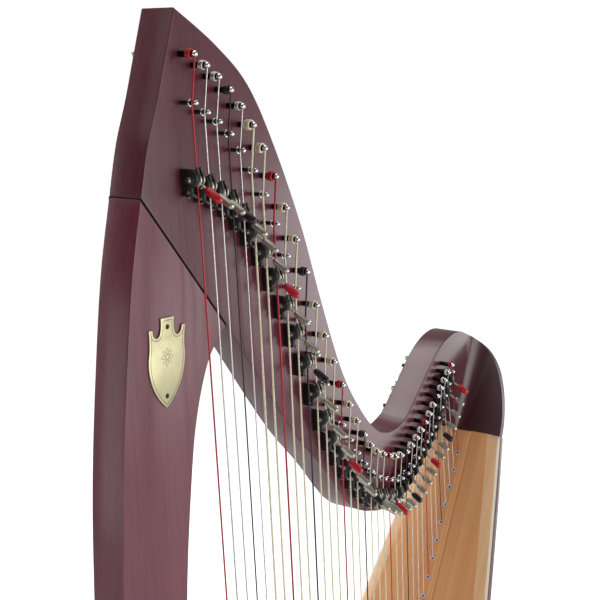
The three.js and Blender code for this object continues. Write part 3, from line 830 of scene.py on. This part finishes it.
GROOVE = 1.25                        # radius of a bridge pin where the string bears on it
PIN_RADIUS = 2.8                     # of a tuning pin where the string winds on
COIL_STEPS = 18                      # points in each turn of a coil
COIL_END = 1.9                       # how far in front of the strings' plane the coils reach


def bridge_pin_middle(string):
    """The X of the pin's axis: the string bears on the pin's -X side."""
    return string.bridge.x + GROOVE + string.radius


def string_path(string):
    """Up from the board, past the bridge pin, then round the tuning pin in close turns."""
    r = string.radius
    start = on_board((string.foot - BOARD_ORIGIN).dot(BOARD_UP), 0, -5)
    winding = PIN_RADIUS + r + 0.1
    centre = string.tuning
    first = r - COIL_END
    leave = Vector((centre.x + winding, first, centre.z - 0.5))
    path = [start, string.foot, (string.foot + string.bridge) / 2, string.bridge - string.up * 2.0]
    path += [string.bridge.copy(), string.bridge + (leave - string.bridge) * 0.08, leave]
    turns = 2.7 if string.number < FIRST_NYLON else 3.0
    for step in range(1, int(turns * COIL_STEPS) + 1):
        turn = 2 * math.pi * step / COIL_STEPS
        along = first + step / COIL_STEPS * (2 * r + 0.1)
        across, rise = winding * math.cos(turn), winding * math.sin(turn)
        path.append(Vector((centre.x + across, along, centre.z + rise)))
    path.append(Vector((centre.x, path[-1].y + 0.4, centre.z)))
    return path


def make_strings():
    for string in STRINGS:
        shape = Shape(f"string_{string.number:02d}")
        shape.add(tube(string_path(string), string.radius, 10))
        shape.finish([string.material()], "string_nylon", crisp=60)


def make_tuning_pins():
    """Blued shafts through the neck, with polished string ends and square key ends on the far side."""
    shape = Shape("tuning_pins")
    shaft = lathe([
        (3.2, -NECK_FAR - 2), (3.2, -NECK_NEAR - 0.5), (PIN_RADIUS, -NECK_NEAR), (PIN_RADIUS, 1.6),
        (2.0, 2.0), (2.0, 2.6),
    ], 20)
    end = lathe([
        (1.9, 2.4), (2.3, 2.5), (2.7, 3.0), (2.8, 3.8), (2.7, 4.8), (2.3, 5.6), (1.6, 6.2), (0.8, 6.5),
        (0, 6.6),
    ], 24)
    ferrule = lathe([
        (4.4, -NECK_FAR - 0.2), (4.4, -NECK_FAR - 1.2), (3.9, -NECK_FAR - 1.7), (3.2, -NECK_FAR - 1.7),
    ], 24)
    neck_of_key = lathe([(3.2, -NECK_FAR - 1), (3.2, -NECK_FAR - 6), (2.8, -NECK_FAR - 7.5)], 20)
    key = slab(rectangle(2.4, 2.4), -NECK_FAR - 15.5, -NECK_FAR - 5, 0.4)
    for string in STRINGS:
        place = Matrix.Translation(string.tuning) @ TOWARDS_PLAYER
        shape.add(shaft, place).add(end, place, 1).add(ferrule, place, 1)
        shape.add(neck_of_key, place, 1).add(key, place @ Matrix.Rotation(0.35 * string.number, 4, "Z"), 1)
    shape.finish([BLUED, CHROME], "lever_metal")


def make_bridge_pins():
    """A threaded shaft in the neck, and a polished end with a flange, a groove and a domed cap."""
    shape = Shape("bridge_pins")
    pitch = 0.5
    ridges = range(int((NECK_NEAR - 3) / pitch))
    thread = [(2.0 if i % 2 else 1.6, -NECK_NEAR - 1 + pitch * i) for i in ridges]
    shaft = lathe([*thread, (1.5, -3.4)], 16)
    flange = [(2.7, -4.1), (3.3, -4.0), (3.6, -3.6), (3.6, -3.1), (3.3, -2.7), (2.7, -2.6)]
    flange = skin([circle(radius, 24, height) for radius, height in [*flange, flange[0]]], caps=False)
    disc = lathe([(1.4, -4.3), (2.75, -3.7), (2.75, -3.1), (1.3, -2.9)], 20)
    for string in STRINGS:
        half = string.radius + 0.3
        slim = 0.8 if string.number >= SMALL_FLANGES_FROM else 1.0
        small = Matrix.Diagonal((slim, slim, 1, 1))
        end = lathe([
            (1.2, -3.0), (GROOVE, -half), (GROOVE, half), (1.9, half + 0.2), (2.4, half + 0.8),
            (2.55, half + 1.7), (2.3, half + 2.7), (1.6, half + 3.5), (0.8, half + 3.85), (0, half + 3.95),
        ], 24)
        place = Matrix.Translation((bridge_pin_middle(string), 0, string.bridge.z)) @ TOWARDS_PLAYER
        shape.add(shaft, place).add(disc, place @ small).add(end, place, 1).add(flange, place @ small, 1)
    shape.finish([BLUED, CHROME], "lever_metal")


# ---- Levers and their housings ----

HANDLE_DOWN = math.radians(34)       # below the horizontal at rest
HOUSING_LEFT, HOUSING_RIGHT = -7.0, -2.95
LEVER_AXLE_Y = 3
CHEEK_INNER = 1.45                   # half of the slot that the string passes through
CHEEK_OUTER = 2.75
HORN_REACH = 12
TREBLE_HORN_REACH = 8.8
GRIP_END = 34.5                      # from the axle
TREBLE_SHORTER = 4.5                 # how much shorter the treble handles are

# The materials of a lever, by their skin numbers, and its handles' starts, radii, flutes and skins.
LEVER_MATERIALS = [NICKEL, SHADE_BLACK, BAR_STEEL, SLEEVE_RED, SLEEVE_BLACK, SHADED_NICKEL]
PLAIN, SHADE_SHEETS, BRIGHT, RED, BLACK, SHADED = range(6)
BARE_GRIP = (14.3, 3.6, 0.16, PLAIN)
SLEEVED_GRIPS = {C_NOTE: (14.0, 3.9, 0, RED), F_NOTE: (14.0, 3.8, 0, BLACK)}


def make_housings():
    """The fixed black blocks with their axle caps, screws and the small nickel frets under them."""
    blocks = Shape("lever_housings")
    fittings = Shape("lever_fittings")
    back = NECK_NEAR - LEVER_AXLE_Y + 0.2
    nose = arc((0, 1.0), 8.2, 80, 238, 22)
    step = arc((-3.6, -8.6), 2.0, 60, 0, 4)
    toe = arc((0.4, -13.4), 2.0, 180, 270, 4)
    outline = [Vector((back, 9.2)), *nose, *step, *toe, Vector((back, -15.4))]
    block = slab(outline, HOUSING_LEFT, HOUSING_RIGHT, 0.7)
    to_left = axes(Y, Z, -X)
    cap = lathe([
        (6.3, 6.8), (6.3, 7.3), (5.9, 7.7), (5.0, 7.8), (4.9, 8.4), (4.4, 8.7), (3.4, 8.8), (3.2, 8.3),
        (2.6, 8.3),
    ], 32)
    screw = lathe([(2.8, 8.0), (2.8, 8.7), (2.4, 9.2), (1.3, 9.5), (0, 9.55)], 20)
    # the slots are solid black bars: painted shade in their recesses
    slot = slab(rectangle(2.3, 0.35), 9.0, 9.6, 0.05, 1)
    small_screw = lathe([(1.7, 6.8), (1.7, 7.3), (1.3, 7.7), (0, 7.8)], 18)
    small_slot = slab(rectangle(1.3, 0.2), 7.5, 7.85, 0.05, 1)
    loop = tube([Vector((-5.2, p.x, p.y)) for p in arc((4.6, -14.6), 2.2, 0, 360, 20)], 0.75, 8)
    lip_line = ((1.0, -13.6), (-2.4, -14.4), (-4.4, -16.0))
    lip = tube([Vector((-4.4, y, z)) for y, z in lip_line], [1.2, 1.1, 0.9], 10)
    for string in STRINGS:
        place = string.place
        turn = Matrix.Rotation(random.uniform(0, math.pi), 4, "Z")
        flatter = 1.0 if string.number < SMALL_CAPS_FROM else 0.86
        outwards = to_left @ Matrix.Diagonal((1, 1, flatter, 1))
        blocks.add(block, place @ FACING_LEFT)
        blocks.add(cap, place @ outwards)
        fittings.add(screw, place @ outwards).add(slot, place @ outwards @ turn, 1)
        low_screw = place @ to_left @ Matrix.Translation((2.4, -11.4, 0))
        fittings.add(small_screw, low_screw).add(small_slot, low_screw @ turn, 1)
        fittings.add(loop, place).add(lip, place)
    blocks.finish([HOUSING], "dark_screw")
    fittings.finish([NICKEL, SHADE_BLACK], "lever_metal")


def cheek_outline(reach):
    """Round the axle, round a cam in front of the string, and up to a horn with a round tip."""
    tip = Vector((-math.cos(math.radians(58)), math.sin(math.radians(58)))) * (reach - 1.7)
    outline = arc((0, 0), 4.8, 75, -75, 12)
    if reach == HORN_REACH:
        outline += arc((-3.4, -0.4), 6.6, 262, 150, 12)
    else:
        outline += arc((-0.9, -0.3), 4.6, 262, 165, 12)
    outline += arc(tip, 1.7, 195, 15, 9)
    return outline


def grip(start, end, radius, flutes):
    """A handle along its own Z with round ends. Bare ones have four broad flutes along them."""
    rings = []
    length = end - start
    for step in range(25):
        along = start + length * (0.5 - 0.5 * math.cos(math.pi * step / 24))
        from_end = min(along - start + 0.15, end - along + 0.02)
        round_off = math.sqrt(max(0.0, 1 - (1 - min(1.0, from_end / radius)) ** 2))
        swell = 0.86 + 0.14 * math.sin(math.pi * (along - start) / length)
        fade = flutes * clamp((from_end - 1.5) / 3)
        ring = []
        for i in range(40):
            turn = 2 * math.pi * i / 40
            r = radius * round_off * swell * (1 - fade * (0.5 + 0.5 * math.cos(4 * turn)) ** 1.5)
            ring.append(Vector((r * math.cos(turn), r * math.sin(turn), along)))
        rings.append(ring)
    return skin(rings)


def make_levers():
    """Two cheeks on an axle that straddle the string, thin black sheets inside them as painted shade in
    the slot, a bar and a handle. The horns above the axle take a dark nickel as painted shade.
    """
    along_handle = Vector((0, -math.cos(HANDLE_DOWN), -math.sin(HANDLE_DOWN)))
    handle = axes(X, along_handle.cross(X), along_handle)
    for string in STRINGS:
        treble = string.number >= TREBLE_LEVERS_FROM
        facing = string.place @ FACING_LEFT
        shape = Shape(f"{string.body}_detail")
        outline = cheek_outline(TREBLE_HORN_REACH if treble else HORN_REACH)
        for low, high in ((-CHEEK_OUTER, -CHEEK_INNER), (CHEEK_INNER, CHEEK_OUTER)):
            shape.add(slab(outline, low, high, 0.3, 2), facing)
        # the horns above the axle take the dark nickel: painted shade
        shape.paint_above(string.place, 3.5, SHADED)
        # thin black sheets on the cheeks' inner faces: painted shade in the slot
        shade_sheet = inset([Vector(p) for p in outline][::-1], 0.9)
        for x in (-1.42, 1.42):
            shape.add(slab(shade_sheet, x - 0.05, x + 0.05, 0.02, 1), facing, SHADE_SHEETS)
        axle = lathe([(1.8, -2.7), (1.8, 2.7)], 16)
        shape.add(axle, facing, PLAIN)
        bar = tube([along_handle * d for d in (7.4, 9, 12, 16)], [1.4, 1.2, 1.05, 1.05], 12)
        shape.add(bar, string.place, BRIGHT)
        start, radius, flutes, material = SLEEVED_GRIPS.get(string.note, BARE_GRIP)
        end = GRIP_END - TREBLE_SHORTER if treble else GRIP_END
        shape.add(grip(start, end, radius, flutes), string.place @ handle, material)
        shape.finish(LEVER_MATERIALS, "lever_metal", string.body, replaces=[string.body])


# ---- Name plate ----

def bezier(a, b, c, d, steps):
    """A cubic curve from a to d without its first point."""
    a, b, c, d = (Vector(point) for point in (a, b, c, d))
    curve = []
    for step in range(1, steps + 1):
        t = step / steps
        u = 1 - t
        curve.append(a * u ** 3 + b * 3 * u * u * t + c * 3 * u * t * t + d * t ** 3)
    return curve


def shield_outline():
    """A shield with a square tab, two bites and two horns at the top, and a pointed foot."""
    right = [Vector((0, 0)), Vector((9, 0))]
    right += bezier((9, 0), (8, -9), (9, -17), (14, -17), 10)
    right += bezier((14, -17), (19, -17), (20, -13), (20, -9.5), 8)
    right += [Vector((25, -9))]
    right += bezier((25, -9), (23.3, -17.7), (23.3, -26.7), (25, -36), 10)
    right += bezier((25, -36), (25, -58), (13, -74), (0, -83), 16)
    left = [Vector((-p.x, p.y)) for p in reversed(right[1:-1])]
    return right + left


def ribbon(line, width, low, high):
    """A thin line of the given width that follows the inside of a closed outline."""
    rings = []
    for a, b in zip(line, inset(line, width)):
        corners = ((a, low), (a, high), (b, high), (b, low))
        rings.append([Vector((point.x, point.y, height)) for point, height in corners])
    rings.append(rings[0])
    return skin(rings, caps=False)


PLATE_TOP = (-52.5, NECK_NEAR - 0.3, 1343)
PLATE_TILT = math.radians(4.6)
PETALS = 8
PETAL_START, PETAL_LENGTH, PETAL_HALF = 1.5, 7, 1.5


def petal_outline():
    """From the flower's middle along one side of a petal and back along the other, clockwise."""
    sides = [(i, 1) for i in range(11)] + [(i, -1) for i in range(9, 0, -1)]
    loop = []
    for i, side in sides:
        along = PETAL_START + PETAL_LENGTH * i / 10
        loop.append(Vector((along, side * PETAL_HALF * math.sin(math.pi * i / 10))))
    return loop


def make_name_plate():
    """A shield without lettering, with an engraved border and a plain eight-petalled flower."""
    place = Matrix.Translation(PLATE_TOP) @ Matrix.Rotation(PLATE_TILT, 4, "Y") @ TOWARDS_PLAYER
    outline = shield_outline()[::-1]
    shape = Shape("name_plate_face")
    shape.add(slab(outline, 0, 1.2, 0.3, 2), place)
    shape.add(ribbon(inset(outline, 2.3), 0.5, 1.1, 1.24), place, 1)
    centre = Vector((0, -36))
    for petal in range(PETALS):
        turn = Matrix.Rotation(2 * math.pi / PETALS * petal, 2)
        loop = [centre + turn @ p for p in petal_outline()]
        loop.reverse()
        shape.add(ribbon(loop, 0.3, 1.1, 1.22), place, 1)
    shape.finish([PLATE, ENGRAVING], "plate_gold", replaces=["name_plate"])
    for where, height in (("upper", -8.5), ("lower", -72)):
        screw = Shape(f"plate_screw_{where}_head")
        spot = place @ Matrix.Translation((0, height, 0))
        screw.add(lathe([(2.3, 1.1), (2.3, 1.3), (1.8, 1.9), (0.9, 2.2), (0, 2.25)], 20), spot)
        # the slot is a solid black bar: painted shade in its recess
        slot = slab(rectangle(1.8, 0.22), 1.9, 2.28, 0.04, 1)
        screw.add(slot, spot @ Matrix.Rotation(0.6, 4, "Z"), 1)
        screw.finish([DARK_SCREW, SHADE_BLACK], "dark_screw", replaces=[f"plate_screw_{where}"])


# ---- Base and feet ----

BASE_OUTLINE = [
    (-120, -26), (-112, -52), (-72, -74), (-46, -118), (-32, -172), (-4, -199), (60, -200),
    (160, -170), (250, -124), (296, -84), (306, 0),
]


BASE_MIDDLE = 95
BLOCK_LOW, BLOCK_TOP = 56, 141
PLINTH_LOW, PLINTH_TOP = 34, 55.7


def base_outline(scale):
    """The base seen from above, as a scaled copy about its middle."""
    near = smooth(BASE_OUTLINE, 60)
    whole = near + [Vector((p.x, -p.y)) for p in reversed(near[:-1])]
    return [Vector((BASE_MIDDLE + (p.x - BASE_MIDDLE) * scale, p.y * scale)) for p in whole]


def make_base():
    block = Shape("base_block_wood").add(slab(base_outline(1.0), BLOCK_LOW, BLOCK_TOP, 6, 5))
    block.finish([MAHOGANY_BASE], "mahogany", replaces=["base_block"])
    plinth = Shape("plinth_wood").add(slab(base_outline(1.03), PLINTH_LOW, PLINTH_TOP, 3, 4))
    plinth.finish([MAHOGANY_BASE], "mahogany", replaces=["plinth"])
    profile = [(0, 0), (12, 0), (14, 1.2), (15.5, 5), (18.4, 22), (19, 26), (19, 33.6), (0, 33.6)]
    for name in ("front_near", "front_far", "back_near", "back_far"):
        low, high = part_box("foot_" + name)
        middle = (low + high) / 2 / MM + MIDDLE_X * X
        foot = Shape(f"foot_{name}_turned")
        foot.add(lathe(profile, 40), Matrix.Translation((middle.x, middle.y, 0)))
        foot.finish([RUBBER], "foot_rubber", replaces=["foot_" + name])


# ---- Carried-over CAD pieces ----

def dress(names, material, edge=0.0):
    """Gives CAD nodes their material, and a fine rounding where their edges show."""
    for name in names:
        node = frame["nodes"][name]
        node.data.materials.clear()
        node.data.materials.append(material)
        if edge:
            rounding = node.modifiers.new("rounding", "BEVEL")
            rounding.width = edge * MM
            rounding.segments = 2
            rounding.limit_method = "ANGLE"
            rounding.angle_limit = math.radians(35)


# ---- Floor and light ----

def make_floor():
    """A pale floor with a glow that only the camera sees and that grows away from the harp, so that
    the floor looks white and still shows the harp's shadow."""
    mesh = bpy.data.meshes.new("floor")
    far = 30
    corners = [(-far, -far, 0), (far, -far, 0), (far, far, 0), (-far, far, 0)]
    mesh.from_pydata(corners, [], [(0, 1, 2, 3)])
    white = (1, 1, 1, 1)
    n = Nodes("floor_white", Base_Color=(0.8, 0.8, 0.8, 1), Roughness=0.9, Emission_Color=white)
    path = n.add("LightPath")
    place = n.add("TexCoord")
    away = n.add("VectorMath", **{"0": place.outputs["Object"]})
    away.operation = "LENGTH"
    glow = n.add("MapRange", Value=away.outputs["Value"], From_Min=0.3, From_Max=1.5,
                 To_Min=0.3, To_Max=0.94)
    shown = n.add("Math", **{"0": glow.outputs[0], "1": path.outputs["Is Camera Ray"]})
    shown.operation = "MULTIPLY"
    n.put(n.surface, "Emission Strength", shown.outputs[0])
    mesh.materials.append(n.material)
    add_object("floor", mesh)


def make_world():
    """White to the eye, and a soft studio to the object: brighter on the right and in front."""
    world = bpy.data.worlds.new("studio")
    bpy.context.scene.world = world
    world.use_nodes = True
    world.node_tree.nodes.clear()
    n = Tree(world.node_tree)
    place = n.add("TexCoord")
    brightest = Vector((0.88, -0.42, -0.30)).normalized()
    towards = n.add("VectorMath", **{"0": place.outputs["Generated"], "1": brightest})
    towards.operation = "DOT_PRODUCT"
    level = n.add("MapRange", Value=towards.outputs["Value"], From_Min=-0.7, To_Min=0.05, To_Max=0.50)
    lit = n.add("Background", Strength=level.outputs[0])
    seen = n.add("Background", Color=(1, 1, 1, 1))
    path = n.add("LightPath")
    shaders = {"0": path.outputs["Is Camera Ray"], "1": lit.outputs[0], "2": seen.outputs[0]}
    n.add("OutputWorld", Surface=n.add("MixShader", **shaders).outputs[0])


def area_light(name, place, target, width, height, power):
    """A soft rectangular lamp at place, in metres and watts, turned to its target."""
    light = bpy.data.lights.new(name, "AREA")
    light.shape = "RECTANGLE"
    light.size = width
    light.size_y = height
    light.energy = power
    lamp = add_object(name, light)
    lamp.location = place
    lamp.rotation_euler = (Vector(target) - Vector(place)).to_track_quat("-Z", "Y").to_euler()


def make_lights():
    area_light("key_light", (0.1, -2.6, 1.15), (-0.1, 0, 1.0), 2.2, 1.8, 37)
    area_light("side_light", (2.8, -1.5, 0.64), (0.1, 0, 1.1), 3.0, 1.2, 21)
    area_light("top_light", (0.2, 0.9, 3.2), (0.2, 0, 1.0), 1.5, 1.5, 16)
    area_light("top_glow", (0.2, 0.8, 3.3), (0.2, 0, 1.0), 2.8, 2.8, 32)
    area_light("left_light", (-2.7, 1.7, 0.85), (-0.3, 0, 0.9), 1.3, 1.3, 7)
    area_light("low_light", (-2.6, -0.1, 0.35), (-0.35, 0, 0.9), 1.2, 1.2, 10)
    area_light("far_light", (-0.6, 2.2, 1.5), (0.2, 0, 0.8), 1.2, 1.2, 18)
    area_light("upper_light", (-1.8, 0.7, 3.3), (0.4, 0, 1.1), 1.6, 1.6, 6)


bpy.context.scene.view_settings.view_transform = "Standard"
make_floor()
make_world()
make_lights()
make_neck()
make_pillar()
make_shoulder()
make_soundboard()
make_edging()
make_string_rib()
make_rib_beads()
make_eyelets()
make_strings()
make_tuning_pins()
make_bridge_pins()
make_housings()
make_levers()
make_name_plate()
make_base()
STAVES = ["near_side_stave", "far_side_stave", "near_back_stave", "far_back_stave"]
dress([*STAVES, "back_panel"], MAHOGANY_BOX, 0.8)
dress(["inner_string_rib", "body_frame_1", "body_frame_2", "body_frame_3"], INNER_WOOD, 0.6)
dress(["pillar_gasket"], GASKET)
